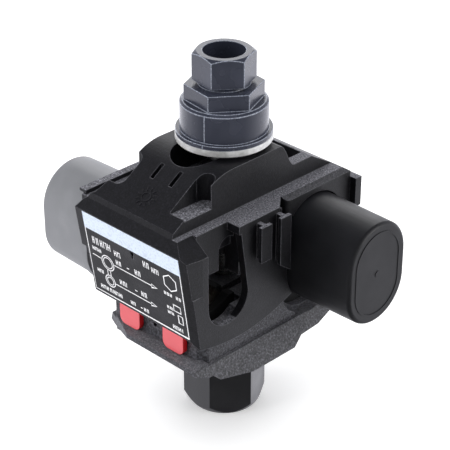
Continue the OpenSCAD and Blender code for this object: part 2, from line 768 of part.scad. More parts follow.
module lower_main_seal() {
    seal(boss_y + 0.5, lower_blade_y[1] + 1, main_floor, main_floor + seal_h + lower_main_rise,
         main_y, main_floor + seal_h + lower_main_rise + lower_drop, main_hollow_r,
         lower_blade_y, main_seat_x - cap_gap - wall - 0.1);
}

// Indicator tabs

module tab_peg(gap) {
    block([-peg_w / 2 - gap, neck_front - eps, peg_z - gap],
          [peg_w / 2 + gap, neck_front + peg_len + gap, peg_z + peg_h + gap]);
}

module indicator_tab(side) {
    r = tab_corner_r;
    low = front_rim_z + 0.15;
    half = tab_w / 2;
    color(tab_red) translate([side * tab_x, 0, 0]) {
        along_y(neck_front - tab_proud, neck_front) polygon(concat(
            [[half, neck_top - 0.2], [-half, neck_top - 0.2]],
            arc([-half + r, low + r], r, 180, 270, 6),
            arc([half - r, low + r], r, 270, 360, 6)
        ));
        tab_peg(0);
    }
}

module indicator_tab_left() { indicator_tab(-1); }
module indicator_tab_right() { indicator_tab(1); }

// End caps

// A deep cap of obround section, drawn along +X from its open foot
module end_cap(base_x, y, z, len, foot_r, shade) {
    draft = 0.3;
    round_r = 0.6;
    end_r = cap_r - draft;
    color(shade) translate([base_x, y, z]) difference() {
        union() {
            cap_shell(0, cap_foot, foot_r, foot_r);
            cap_shell(cap_foot - eps, len - round_r, cap_r, end_r);
            cap_shell(len - round_r - eps, len, end_r, end_r - round_r);
        }
        cap_shell(-1, len - cap_wall, cap_r - cap_wall, cap_r - cap_wall - draft);
    }
}

// One length of an end cap: two round edges and the flat sides between them
module cap_shell(x0, x1, r0, r1) {
    for (z = [0, cap_straight])
        translate([x0, 0, z]) rotate([0, 90, 0]) cylinder(h = x1 - x0, r1 = r0, r2 = r1);
    linear_extrude(cap_straight)
        polygon([[x0, -r0], [x1, -r1], [x1, r1], [x0, r0]]);
}

module main_end_cap() {
    end_cap(main_seat_x, main_y, cap_z, main_cap_len, cap_r, black_gloss);
}

module tap_end_cap() {
    mirror([1, 0, 0])
        end_cap(tap_seat_x, tap_y, cap_z + tap_cap_rise, tap_cap_len, tap_flange_r, cap_grey);
}

upper_jaw();
lower_jaw();
clamp_bolt();
bolt_head_cover();
shear_nut();
nut_insert();
washer();
jaw_spring();
upper_blade_left();
upper_blade_right();
lower_blade_left();
lower_blade_right();
upper_tap_seal();
upper_main_seal();
lower_tap_seal();
lower_main_seal();
indicator_tab_left();
indicator_tab_right();
main_end_cap();
tap_end_cap();
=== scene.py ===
"""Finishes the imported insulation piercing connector: materials, print, threads, spring and studio."""
import math

import bmesh
import bpy
from bpy.props import FloatProperty, FloatVectorProperty, IntProperty, PointerProperty
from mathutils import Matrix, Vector
from mathutils.bvhtree import BVHTree


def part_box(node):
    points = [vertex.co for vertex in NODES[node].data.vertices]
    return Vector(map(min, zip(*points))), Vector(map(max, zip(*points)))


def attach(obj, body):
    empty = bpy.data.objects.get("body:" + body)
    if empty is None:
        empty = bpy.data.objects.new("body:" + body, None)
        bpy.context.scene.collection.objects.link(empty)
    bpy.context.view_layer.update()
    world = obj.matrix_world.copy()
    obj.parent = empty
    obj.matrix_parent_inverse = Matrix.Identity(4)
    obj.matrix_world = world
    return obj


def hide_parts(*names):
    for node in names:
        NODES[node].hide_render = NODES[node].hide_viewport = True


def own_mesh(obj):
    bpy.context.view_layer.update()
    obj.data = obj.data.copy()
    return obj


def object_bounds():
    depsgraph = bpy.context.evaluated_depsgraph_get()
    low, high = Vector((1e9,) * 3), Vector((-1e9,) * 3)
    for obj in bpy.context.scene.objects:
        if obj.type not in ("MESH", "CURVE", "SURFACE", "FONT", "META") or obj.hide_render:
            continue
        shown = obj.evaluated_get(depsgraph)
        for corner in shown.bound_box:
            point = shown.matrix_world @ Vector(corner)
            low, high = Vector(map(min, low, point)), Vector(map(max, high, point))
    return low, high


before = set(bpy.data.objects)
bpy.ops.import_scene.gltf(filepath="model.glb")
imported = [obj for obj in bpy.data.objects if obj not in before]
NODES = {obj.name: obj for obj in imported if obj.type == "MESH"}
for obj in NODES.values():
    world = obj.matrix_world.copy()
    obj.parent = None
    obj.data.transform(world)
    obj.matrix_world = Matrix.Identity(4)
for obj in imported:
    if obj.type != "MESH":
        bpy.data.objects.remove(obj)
CAD_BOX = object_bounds()
MM = 0.001
SINK = -0.05 * MM  # how deep added trim reaches into its solid

bl_info = {
    "name": "Insulation Piercing Connector",
    "version": (1, 0, 0),
    "blender": (4, 5, 0),
    "location": "3D View > Sidebar > Connector",
    "description": "Dresses the connector's CAD frame with finishes, print, thread, spring and studio",
    "category": "Object",
}


# Colour and node helpers

def linear(colour, gain=1.0):
    """A display colour from 0 to 1 as a linear colour with alpha, made lighter or darker by gain."""
    parts = [c / 12.92 if c <= 0.04045 else ((c + 0.055) / 1.055) ** 2.4 for c in colour]
    return tuple(min(1.0, p * gain) for p in parts) + (1.0,)


def shader_tree(name):
    """An empty material with its node tree, its main shader and the object's own coordinates."""
    material = bpy.data.materials.new(name + "_finish")
    material.use_nodes = True
    tree = material.node_tree
    shader = tree.nodes["Principled BSDF"]
    coords = tree.nodes.new("ShaderNodeTexCoord")
    return material, tree, shader, coords.outputs["Object"]


def noise(tree, coords, size, detail=3.0, rough=0.5, stretch=None):
    """A noise pattern whose features are about size metres across."""
    if stretch:
        mapping = tree.nodes.new("ShaderNodeMapping")
        mapping.inputs["Scale"].default_value = stretch
        tree.links.new(coords, mapping.inputs["Vector"])
        coords = mapping.outputs["Vector"]
    node = tree.nodes.new("ShaderNodeTexNoise")
    node.inputs["Scale"].default_value = 1.0 / size
    node.inputs["Detail"].default_value = detail
    node.inputs["Roughness"].default_value = rough
    tree.links.new(coords, node.inputs["Vector"])
    return node.outputs["Fac"]


def ramp(tree, factor, stops):
    """A colour ramp through stops of (place, linear colour)."""
    node = tree.nodes.new("ShaderNodeValToRGB")
    keys = node.color_ramp.elements
    while len(keys) < len(stops):
        keys.new(0.5)
    for key, (place, colour) in zip(keys, stops):
        key.position = place
        key.color = colour
    tree.links.new(factor, node.inputs["Fac"])
    return node.outputs["Color"]


def spread(tree, factor, low, high, start=0.3, end=0.7):
    """The factor's range from start to end laid out from low to high."""
    node = tree.nodes.new("ShaderNodeMapRange")
    for socket, value in (("From Min", start), ("From Max", end), ("To Min", low), ("To Max", high)):
        node.inputs[socket].default_value = value
    tree.links.new(factor, node.inputs["Value"])
    return node.outputs["Result"]


def bump(tree, height, depth, strength=1.0, below=None):
    """Relief of the given depth in metres, on top of other relief."""
    node = tree.nodes.new("ShaderNodeBump")
    node.inputs["Distance"].default_value = depth
    node.inputs["Strength"].default_value = strength
    tree.links.new(height, node.inputs["Height"])
    if below:
        tree.links.new(below, node.inputs["Normal"])
    return node.outputs["Normal"]


def mottled(tree, factor, colour, swing):
    """A colour that a pattern makes darker and lighter by a share of itself."""
    return ramp(tree, factor, [(0.36, linear(colour, 1 - swing)), (0.53, linear(colour)),
                               (0.68, linear(colour, 1 + 2 * swing))])


def blend(tree, factor, first, second):
    """The first colour or number where the factor is 0, the second where it is 1."""
    node = tree.nodes.new("ShaderNodeMix")
    node.data_type = "RGBA" if first.type == "RGBA" else "FLOAT"
    sockets = [socket for socket in node.inputs if socket.enabled]
    for socket, source in zip(sockets, (factor, first, second)):
        tree.links.new(source, socket)
    return next(socket for socket in node.outputs if socket.enabled)


def height_of(tree, vector):
    """The upright part of a vector."""
    split = tree.nodes.new("ShaderNodeSeparateXYZ")
    tree.links.new(vector, split.inputs["Vector"])
    return split.outputs["Z"]


def product(tree, first, second):
    """One factor times another."""
    node = tree.nodes.new("ShaderNodeMath")
    node.operation = "MULTIPLY"
    tree.links.new(first, node.inputs[0])
    tree.links.new(second, node.inputs[1])
    return node.outputs["Value"]


def across(tree):
    """1 on faces that look along X, 0 on the rest."""
    coords = tree.nodes.new("ShaderNodeTexCoord")
    split = tree.nodes.new("ShaderNodeSeparateXYZ")
    size = tree.nodes.new("ShaderNodeMath")
    size.operation = "ABSOLUTE"
    tree.links.new(coords.outputs["Normal"], split.inputs["Vector"])
    tree.links.new(split.outputs["X"], size.inputs[0])
    return spread(tree, size.outputs["Value"], 0, 1, 0.6, 0.9)


def ledges(tree, top):
    """1 on level faces that look up and lie below a height in metres, 0 elsewhere: where the ledges'
    painted light goes.
    """
    coords = tree.nodes.new("ShaderNodeTexCoord")
    level = spread(tree, height_of(tree, coords.outputs["Normal"]), 0, 1, 0.9, 0.96)
    below = spread(tree, height_of(tree, coords.outputs["Object"]), 1, 0, top - 0.5 * MM, top)
    return product(tree, level, below)


def rounded_edge_highlights(tree, radius):
    """The normals of edges rounded to a radius in metres, and a factor that is 1 along those edges, where
    the painted edge highlight goes.
    """
    soft = tree.nodes.new("ShaderNodeBevel")
    soft.samples = 8
    soft.inputs["Radius"].default_value = radius
    shape = tree.nodes.new("ShaderNodeNewGeometry")
    turn = tree.nodes.new("ShaderNodeVectorMath")
    turn.operation = "DOT_PRODUCT"
    tree.links.new(soft.outputs["Normal"], turn.inputs[0])
    tree.links.new(shape.outputs["Normal"], turn.inputs[1])
    return soft.outputs["Normal"], spread(tree, turn.outputs["Value"], 1, 0, 0.84, 0.985)


def moulded_plastic(name, colour, grain, depth, rough, mottle=0.12, gloss=0.5, speck=0.0,
                    ledge=None, sides=None, edges=None):
    """Moulded plastic: cloudy or speckled colour, a fine spark-eroded grain and a patchy gloss.

    A ledge is a colour, its swing and a height in metres: level faces below that height are coarser and
    take that paler colour, which is painted light falling on them from above; its coarse speckle is
    their grain. Sides is a colour for the faces that look along X: a darker copy as painted shade. Edges is
    a colour and a radius: the edges are rounded to that radius in the shading, and the colour along them is
    a painted highlight.
    """
    material, tree, shader, coords = shader_tree(name)
    cloud = noise(tree, coords, 7 * MM, 2.0)
    fine = noise(tree, coords, grain, 4.0, 0.6)
    tone = mottled(tree, fine if speck else cloud, colour, max(mottle, speck))
    shine = spread(tree, cloud, rough - 0.06, rough + 0.06)
    # Painted light: level faces below the ledge height take a paler colour, as if lit from above; the
    # coarse speckle in it is their grain.
    if ledge:
        pale, swing, top = ledge
        level = ledges(tree, top)
        coarse = noise(tree, coords, 0.9 * grain, 4.0, 0.7)
        tone = blend(tree, level, tone, mottled(tree, coarse, pale, swing))
        shine = blend(tree, level, shine, spread(tree, coarse, 0.62, 0.9))
    # Painted shade: faces that look along X take the darker sides colour.
    if sides:
        tone = blend(tree, across(tree), tone, mottled(tree, cloud, sides, mottle))
    rounded = None
    # Painted highlight: a paler colour along the rounded edges.
    if edges:
        highlight_tint, radius = edges
        rounded, along = rounded_edge_highlights(tree, radius)
        tone = blend(tree, along, tone, mottled(tree, fine, highlight_tint, 0.4))
    tree.links.new(tone, shader.inputs["Base Color"])
    tree.links.new(shine, shader.inputs["Roughness"])
    relief = bump(tree, fine, depth, below=rounded)
    relief = bump(tree, noise(tree, coords, 4 * MM, 1.0), 0.02 * MM, 0.6, relief)
    tree.links.new(relief, shader.inputs["Normal"])
    shader.inputs["Specular IOR Level"].default_value = gloss
    return material


def metal(name, colour, grain, depth, rough, mottle=0.15, stretch=None, share=1.0):
    """Plated or bare metal: uneven tone, a grain that may run one way, and a patchy gloss.

    A share below 1 is for a dull plating.
    """
    material, tree, shader, coords = shader_tree(name)
    cloud = noise(tree, coords, 2.5 * MM, 3.0)
    fine = noise(tree, coords, grain, 3.0, 0.6, stretch)
    tone = ramp(tree, cloud, [(0.28, linear(colour, 1 - mottle)), (0.72, linear(colour, 1 + mottle))])
    tree.links.new(tone, shader.inputs["Base Color"])
    tree.links.new(spread(tree, fine, rough - 0.1, rough + 0.1), shader.inputs["Roughness"])
    tree.links.new(bump(tree, fine, depth), shader.inputs["Normal"])
    shader.inputs["Metallic"].default_value = share
    return material


# Mesh helpers

def new_piece(name, bm, material, body, smooth=False):
    """A piece from a bmesh in metres, riding on a CAD body."""
    bmesh.ops.recalc_face_normals(bm, faces=bm.faces)
    mesh = bpy.data.meshes.new(name)
    bm.to_mesh(mesh)
    bm.free()
    for polygon in mesh.polygons:
        polygon.use_smooth = smooth
    mesh.materials.append(material)
    piece = bpy.data.objects.new(name, mesh)
    bpy.context.scene.collection.objects.link(piece)
    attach(piece, body)
    return piece


def dress(node, material, edge=0.0, segments=2, angle=32, highlight_finish=None, clamp=True):
    """Gives a CAD node its material and, with an edge width in metres, softly rounded edges.

    A highlight material goes on the rounded edges alone: a paler colour painted as an edge highlight. Clamp
    narrows them to what the tightest spot allows.
    """
    solid = NODES[node]
    solid.data.materials.clear()
    solid.data.materials.append(material)
    if highlight_finish:
        solid.data.materials.append(highlight_finish)
    if edge:
        weld = solid.modifiers.new("weld", "WELD")
        weld.merge_threshold = 0.1 * MM
        merge = solid.modifiers.new("flat faces", "DECIMATE")
        merge.decimate_type = "DISSOLVE"
        merge.angle_limit = math.radians(0.4)
        soften = solid.modifiers.new("soft edges", "BEVEL")
        soften.width = edge
        soften.segments = segments
        soften.limit_method = "ANGLE"
        soften.angle_limit = math.radians(angle)
        soften.material = 1 if highlight_finish else -1
        soften.use_clamp_overlap = clamp
        soften.loop_slide = False
        shade = solid.modifiers.new("even shading", "WEIGHTED_NORMAL")
        shade.weight = 100
        shade.keep_sharp = True
    return solid


def prism(bm, outline, place, low, high):
    """A closed flat plate: an outline in a surface's own coordinates, between two heights over it."""
    foot = [bm.verts.new(place(a, b, low)) for a, b in outline]
    top = [bm.verts.new(place(a, b, high)) for a, b in outline]
    bm.faces.new(top)
    bm.faces.new(foot[::-1])
    for i in range(len(outline)):
        j = (i + 1) % len(outline)
        bm.faces.new((foot[i], foot[j], top[j], top[i]))


def stroke(bm, points, width, place, low, high, closed=False):
    """A drawn line of even width along points, as a closed plate that follows a surface."""
    count = len(points)
    sides = []
    for i, (a, b) in enumerate(points):
        before = points[i - 1] if closed or i else points[i]
        after = points[(i + 1) % count] if closed or i < count - 1 else points[i]
        run = Vector((after[0] - before[0], after[1] - before[1])).normalized()
        step = Vector((-run.y, run.x)) * width / 2
        if closed or 0 < i < count - 1:
            part = Vector((after[0] - a, after[1] - b)).normalized()
            step /= max(0.5, part.dot(run))
        sides.append(((a + step.x, b + step.y), (a - step.x, b - step.y)))
    rings = [[bm.verts.new(place(u, v, h)) for (u, v), h in
              ((left, low), (right, low), (right, high), (left, high))] for left, right in sides]
    spans = range(count if closed else count - 1)
    for i in spans:
        near, far = rings[i], rings[(i + 1) % count]
        for k in range(4):
            m = (k + 1) % 4
            bm.faces.new((near[k], near[m], far[m], far[k]))
    if not closed:
        bm.faces.new(rings[0][::-1])
        bm.faces.new(rings[-1])


def circle(a, b, r, count=36, start=0.0):
    """Points round a circle."""
    return [(a + r * math.cos(start + 2 * math.pi * i / count),
             b + r * math.sin(start + 2 * math.pi * i / count)) for i in range(count)]


def oblong(a0, b0, a1, b1):
    """The corners of an oblong."""
    return [(a0, b0), (a1, b0), (a1, b1), (a0, b1)]


def surface_of(node):
    """A search tree of a CAD node's faces."""
    mesh = NODES[node].data
    return BVHTree.FromPolygons([v.co for v in mesh.vertices], [p.vertices for p in mesh.polygons])


# Sizes and colours that a user may change

def tint(label, words, default):
    """A display colour."""
    return FloatVectorProperty(name=label, description=words, subtype="COLOR_GAMMA", size=3, min=0, max=1,
                               default=default)


def length(label, words, default):
    """A length in metres."""
    return FloatProperty(name=label, description=words, subtype="DISTANCE", unit="LENGTH", precision=5,
                         default=default)


class ConnectorFinish(bpy.types.PropertyGroup):
    """Colours and grain of the connector's materials."""
    jaw_black: tint("Jaw black", "Colour of the upper jaw", (0.075, 0.075, 0.09))
    rim_black: tint("Rim black", "Colour of the lower jaw", (0.245, 0.245, 0.265))
    # The next two are paler colours of the jaws' level faces: painted light from above, with the grain's
    # speckle.
    ledge_lit_grey: tint("Ledge grey", "Colour of the upper jaw's coarse level faces", (0.4, 0.4, 0.425))
    rim_lit_grey: tint("Rim grey", "Colour of the lower jaw's coarse level faces", (0.4, 0.4, 0.42))
    # The next three are paler colours painted as highlights along the jaws', the roof ticks' and the nut's
    # edges.
    edge_highlight_grey: tint("Edge grey", "Colour of the jaws' rubbed edges", (0.36, 0.36, 0.385))
    tick_edge_highlight: tint("Tick edge", "Colour of the roof ticks' edges", (0.2, 0.2, 0.215))
    nut_edge_highlight: tint("Nut edge", "Colour of the shear nut's rubbed edges", (0.51, 0.53, 0.58))
    cover_black: tint("Cover black", "Colour of the bolt head cover", (0.12, 0.12, 0.13))
    nut_grey: tint("Nut grey", "Colour of the shear nut", (0.2, 0.213, 0.262))
    cap_black: tint("Cap black", "Colour of the main end cap", (0.085, 0.087, 0.1))
    cap_grey: tint("Cap grey", "Colour of the tap end cap", (0.47, 0.475, 0.49))
    # The tabs' faces are their red lightened by a painted sheen, and their sides are that red darkened as
    # painted shade.
    tab_red: tint("Tab red", "Colour of the indicator tabs' faces", (0.86, 0.37, 0.395))
    tab_shaded_side: tint("Tab side", "Colour of the indicator tabs' sides", (0.74, 0.1, 0.12))
    rubber: tint("Seal rubber", "Colour of the seals", (0.10, 0.10, 0.105))
    zinc: tint("Zinc", "Colour of the washer", (0.93, 0.93, 0.92))
    steel: tint("Steel", "Colour of the bolt, steel nut and spring", (0.82, 0.82, 0.81))
    copper: tint("Tinned copper", "Colour of the contact blades", (0.80, 0.77, 0.72))
    jaw_grain: length("Jaw grain", "Size of the jaws' moulded grain", 0.42 * MM)
    edge: length("Edge", "Radius of the jaws' soft edges", 0.25 * MM)
    ledge_top: length("Ledge top", "Height below which level faces are coarse", 66 * MM)


class ConnectorPrint(bpy.types.PropertyGroup):
    """The print on the label panel."""
    foot: length("Panel foot", "Distance of the panel's lower edge from the bolt axis", 26.35 * MM)
    low: length("Panel height", "Height of the panel's lower edge", 34.8 * MM)
    lean: FloatProperty(name="Panel lean", description="Lean of the panel", subtype="ANGLE",
                        default=math.radians(8.5))
    half: length("Print half width", "Half the width of the print", 15.65 * MM)
    strip_low: length("Strip foot", "Where the pale strip starts, up the panel", 18.2 * MM)
    strip_top: length("Strip top", "Where the pale strip ends, up the panel", 22.6 * MM)
    line: length("Line", "Width of the printed lines", 0.24 * MM)
    thick: length("Ink", "Thickness of the print", 0.03 * MM)
    white: tint("Print white", "Colour of the printed lines", (0.93, 0.93, 0.94))
    pale: tint("Strip blue", "Colour of the pale strip", (0.79, 0.835, 0.905))


class ConnectorClamp(bpy.types.PropertyGroup):
    """The bolt and the spring."""
    head_af: length("Head width", "Size of the bolt head over its flats", 13 * MM)
    head_h: length("Head height", "Height of the bolt head", 5.3 * MM)
    radius: length("Bolt radius", "Radius over the thread's crests", 4 * MM)
    pitch: length("Pitch", "Thread pitch", 1.25 * MM)
    depth: length("Thread depth", "Depth of the thread", 0.68 * MM)
    thread_low: length("Thread foot", "Height where the thread starts", 30 * MM)
    wire: length("Spring wire", "Thickness of the spring's wire", 0.9 * MM)
    coils: IntProperty(name="Coils", description="Coils in the spring", default=7, min=3, max=12)


class ConnectorStudio(bpy.types.PropertyGroup):
    """Camera, floor and light."""
    camera: FloatVectorProperty(name="Camera", description="Place of the camera", subtype="TRANSLATION",
                                unit="LENGTH", size=3, precision=4, default=(0.2328, -0.2333, 0.2338))
    target: FloatVectorProperty(name="Target", description="Point that the camera looks at",
                                subtype="TRANSLATION", unit="LENGTH", size=3, precision=4,
                                default=(0.000125, 0.000125, 0.0478))
    lens: FloatProperty(name="Lens", description="Focal length in millimetres", default=129.9)
    floor: tint("Floor", "Colour of the floor", (0.97, 0.97, 0.97))
    sky: FloatProperty(name="Sky", description="Strength of the light from all round", default=1.15)
    key: FloatProperty(name="Key", description="Power of the light from above in watts", default=26.0)


def finish_of(context):
    """The scene's colours and grain."""
    return context.scene.connector_finish


# Operators

class CONNECTOR_OT_jaws(bpy.types.Operator):
    """Gives both jaws the black grained finish, soft edges with a painted highlight and pale level faces
    painted as lit
    """
    bl_idname = "connector.jaws"
    bl_label = "Jaws"

    def execute(self, context):
        look = finish_of(context)
        grain = look.jaw_grain
        edges = (look.edge_highlight_grey, look.edge)
        # The jaws' ledge colours are painted light on level faces, and their edge colour is a painted
        # highlight.
        upper = moulded_plastic("jaw_black", look.jaw_black, grain, 0.05 * MM, 0.46, speck=0.5,
                                ledge=(look.ledge_lit_grey, 0.9, look.ledge_top), edges=edges)
        lower = moulded_plastic("rim_black", look.rim_black, 1.15 * grain, 0.06 * MM, 0.5, speck=0.75,
                                ledge=(look.rim_lit_grey, 0.45, look.ledge_top), edges=edges)
        dress("upper_jaw", upper)
        dress("lower_jaw", lower)
        return {"FINISHED"}


class CONNECTOR_OT_cover(bpy.types.Operator):
    """Gives the bolt head cover its smooth black finish"""
    bl_idname = "connector.cover"
    bl_label = "Bolt head cover"

    def execute(self, context):
        look = finish_of(context)
        black = moulded_plastic("cover_black", look.cover_black, 0.3 * MM, 0.012 * MM, 0.36)
        dress("bolt_head_cover", black, 0.35 * MM, 3)
        return {"FINISHED"}


class CONNECTOR_OT_nut(bpy.types.Operator):
    """Finishes the shear nut and adds its mould parting lines"""
    bl_idname = "connector.nut"
    bl_label = "Shear nut"

    def execute(self, context):
        look = finish_of(context)
        grey = moulded_plastic("nut_grey", look.nut_grey, 0.25 * MM, 0.014 * MM, 0.26, gloss=0.7)
        # A paler colour painted as highlights on the nut's rounded edges; the parting lines take it too.
        highlight_finish = moulded_plastic("nut_edge_highlight", look.nut_edge_highlight, 0.3 * MM, 0.01 * MM, 0.3, speck=0.5)
        dress("shear_nut", grey, 0.14 * MM, highlight_finish=highlight_finish, clamp=False)
        low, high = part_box("shear_nut")
        flange_r = (high.x - low.x) / 2
        collar_r = flange_r - 1 * MM
        flange_run = (flange_r, low.z + 0.1 * MM, low.z + 0.95 * MM)
        collar_run = (collar_r, low.z + 1.15 * MM, low.z + 7.4 * MM)
        half, lift = 0.14 * MM, 0.06 * MM
        bm = bmesh.new()
        for turn in (math.radians(-70.8), math.radians(109.2)):
            for r, foot, top in (flange_run, collar_run):
                prism(bm, oblong(-half, foot, half, top), round_place(turn, r), SINK, lift)
        new_piece("nut_parting_lines", bm, highlight_finish, "nut")
        return {"FINISHED"}


def round_place(turn, r):
    """Places points on a cylinder round the bolt axis: along its skin, up it and out of it."""
    def place(a, b, lift):
        angle = turn + a / r
        return ((r + lift) * math.cos(angle), (r + lift) * math.sin(angle), b)
    return place


class CONNECTOR_OT_steel(bpy.types.Operator):
    """Finishes the washer and the steel nut, and cuts the bolt's thread"""
    bl_idname = "connector.steel"
    bl_label = "Washer, bolt and steel nut"

    def execute(self, context):
        look = finish_of(context)
        size = context.scene.connector_clamp
        zinc = metal("washer_steel", look.zinc, 0.35 * MM, 0.06 * MM, 0.55, 0.3, share=0.6)
        bright = metal("bolt_steel", look.steel, 0.2 * MM, 0.01 * MM, 0.3)
        dress("washer", zinc, 0.2 * MM)
        dress("nut_insert", bright, 0.2 * MM)
        low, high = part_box("clamp_bolt")
        thread = thread_mesh(size, low, high)
        bolt = new_piece("threaded_bolt", thread, bright, "lower_body", True)
        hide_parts("clamp_bolt")
        return {"FINISHED"}


def thread_mesh(size, low, high):
    """The bolt: a hexagon head, a plain shank and a thread, as one closed skin."""
    around, per_turn = 36, 8
    step = 2 * math.pi / around
    head_top = low.z + size.head_h
    head_chamfer, head_face = 0.5 * MM, 0.93
    tip_h, tip_slope = 1 * MM, 0.9
    flank_slope, crest_share = 1.35, 0.2
    bm = bmesh.new()

    def ring(radii, z):
        return [bm.verts.new((r * math.cos(step * k), r * math.sin(step * k), z))
                for k, r in enumerate(radii)]

    def hexagon(k):
        angle = (step * k) % (math.pi / 3) - math.pi / 6
        return size.head_af / 2 / math.cos(angle)

    def threaded(k, z):
        turn = (z / size.pitch - k / around) % 1.0
        wave = min(1.0, max(0.0, abs(2 * turn - 1) * flank_slope - crest_share))
        fade = min(1.0, max(0.0, (z - size.thread_low) / size.pitch))
        chamfer = max(0.0, z - (high.z - tip_h)) * tip_slope
        return size.radius - max(size.depth * wave * fade, chamfer)

    hexes = [hexagon(k) for k in range(around)]
    shank = [size.radius] * around
    rings = [ring([h * head_face for h in hexes], low.z), ring(hexes, low.z + head_chamfer),
             ring(hexes, head_top), ring(shank, head_top), ring(shank, size.thread_low)]
    steps = round((high.z - size.thread_low) / size.pitch * per_turn)
    for i in range(1, steps + 1):
        z = size.thread_low + (high.z - size.thread_low) * i / steps
        rings.append(ring([threaded(k, z) for k in range(around)], z))
    for near, far in zip(rings, rings[1:]):
        for k in range(around):
            m = (k + 1) % around
            bm.faces.new((near[k], near[m], far[m], far[k]))
    bm.faces.new(rings[0][::-1])
    bm.faces.new(rings[-1])
    return bm


class CONNECTOR_OT_spring(bpy.types.Operator):
    """Winds the round wire spring between the jaws"""
    bl_idname = "connector.spring"
    bl_label = "Jaw spring"

    def execute(self, context):
        size = context.scene.connector_clamp
        wire = metal("spring_steel", finish_of(context).steel, 0.15 * MM, 0.008 * MM, 0.28)
        low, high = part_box("jaw_spring")
        half = size.wire / 2
        mid_r = (high.x - low.x) / 2 - half
        around, steps = 12, 36 * size.coils
        bm = bmesh.new()
        rings = []
        for i in range(steps + 1):
            angle = 2 * math.pi * size.coils * i / steps
            rise = low.z + half + (high.z - low.z - size.wire) * i / steps
            rings.append([])
            for k in range(around):
                lean = 2 * math.pi * k / around
                r = mid_r + half * math.cos(lean)
                point = (r * math.cos(angle), r * math.sin(angle), rise + half * math.sin(lean))
                rings[-1].append(bm.verts.new(point))
        for near, far in zip(rings, rings[1:]):
            for k in range(around):
                m = (k + 1) % around
                bm.faces.new((near[k], far[k], far[m], near[m]))
        bm.faces.new(rings[0])
        bm.faces.new(rings[-1][::-1])
        spring = new_piece("wire_spring", bm, wire, "lower_body", True)
        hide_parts("jaw_spring")
        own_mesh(spring)
        return {"FINISHED"}


class CONNECTOR_OT_contacts(bpy.types.Operator):
    """Finishes the toothed blades and the rubber seals"""
    bl_idname = "connector.contacts"
    bl_label = "Blades and seals"

    def execute(self, context):
        look = finish_of(context)
        tinned = metal("tinned_copper", look.copper, 0.2 * MM, 0.012 * MM, 0.36, 0.2, (1, 1, 6))
        rubber = moulded_plastic("seal_rubber", look.rubber, 0.5 * MM, 0.03 * MM, 0.62, gloss=0.35)
        for jaw in ("upper", "lower"):
            for side in ("left", "right"):
                dress(f"{jaw}_blade_{side}", tinned)
            for channel in ("tap", "main"):
                dress(f"{jaw}_{channel}_seal", rubber, 0.12 * MM)
        return {"FINISHED"}


class CONNECTOR_OT_tabs(bpy.types.Operator):
    """Finishes the red indicator tabs, with a painted sheen on their faces and painted shade on their sides
    """
    bl_idname = "connector.tabs"
    bl_label = "Indicator tabs"

    def execute(self, context):
        look = finish_of(context)
        # The faces take red lightened by a painted sheen, and the sides along X take a darker red as
        # painted shade.
        red = moulded_plastic("tab_red", look.tab_red, 0.3 * MM, 0.006 * MM, 0.24, 0.06,
                              sides=look.tab_shaded_side)
        for side in ("left", "right"):
            dress(f"indicator_tab_{side}", red, 0.18 * MM, 3)
        return {"FINISHED"}


class CONNECTOR_OT_caps(bpy.types.Operator):
    """Finishes both end caps and adds the mould marks on their ends"""
    bl_idname = "connector.caps"
    bl_label = "End caps"

    def execute(self, context):
        look = finish_of(context)
        black = moulded_plastic("cap_black", look.cap_black, 0.35 * MM, 0.008 * MM, 0.48)
        grey = moulded_plastic("cap_grey", look.cap_grey, 0.35 * MM, 0.008 * MM, 0.42, 0.05)
        for node, material, slot, body, facing in (("main_end_cap", black, "cap_black", "main_cap", 1),
                                                   ("tap_end_cap", grey, "cap_grey", "tap_cap", -1)):
            dress(node, material, 0.3 * MM, 3)
            end_marks(node, material, body, facing)
        return {"FINISHED"}


def end_marks(node, material, body, facing):
    """A low raised rib round a cap's end face, and the small gate mark in its middle."""
    low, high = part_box(node)
    end = high.x if facing > 0 else low.x
    mid = (low + high) / 2
    half_w, half_h = (high.y - low.y) / 2, (high.z - low.z) / 2
    inset, rib_w, rib_h = 2.6 * MM, 0.45 * MM, 0.14 * MM
    gate_r, gate_h = 0.8 * MM, 0.12 * MM
    count = 48

    def place(a, b, lift):
        return (end + facing * lift, mid.y + a, mid.z + b)

    rise = half_h - half_w
    rib = [(a, b + (rise if b > 0 else -rise))
           for a, b in circle(0, 0, half_w - inset, count, math.pi / count)]
    bm = bmesh.new()
    stroke(bm, rib, rib_w, place, SINK, rib_h, True)
    prism(bm, circle(0, 0, gate_r, 24), place, SINK, gate_h)
    new_piece(f"{node}_end_rib", bm, material, body)


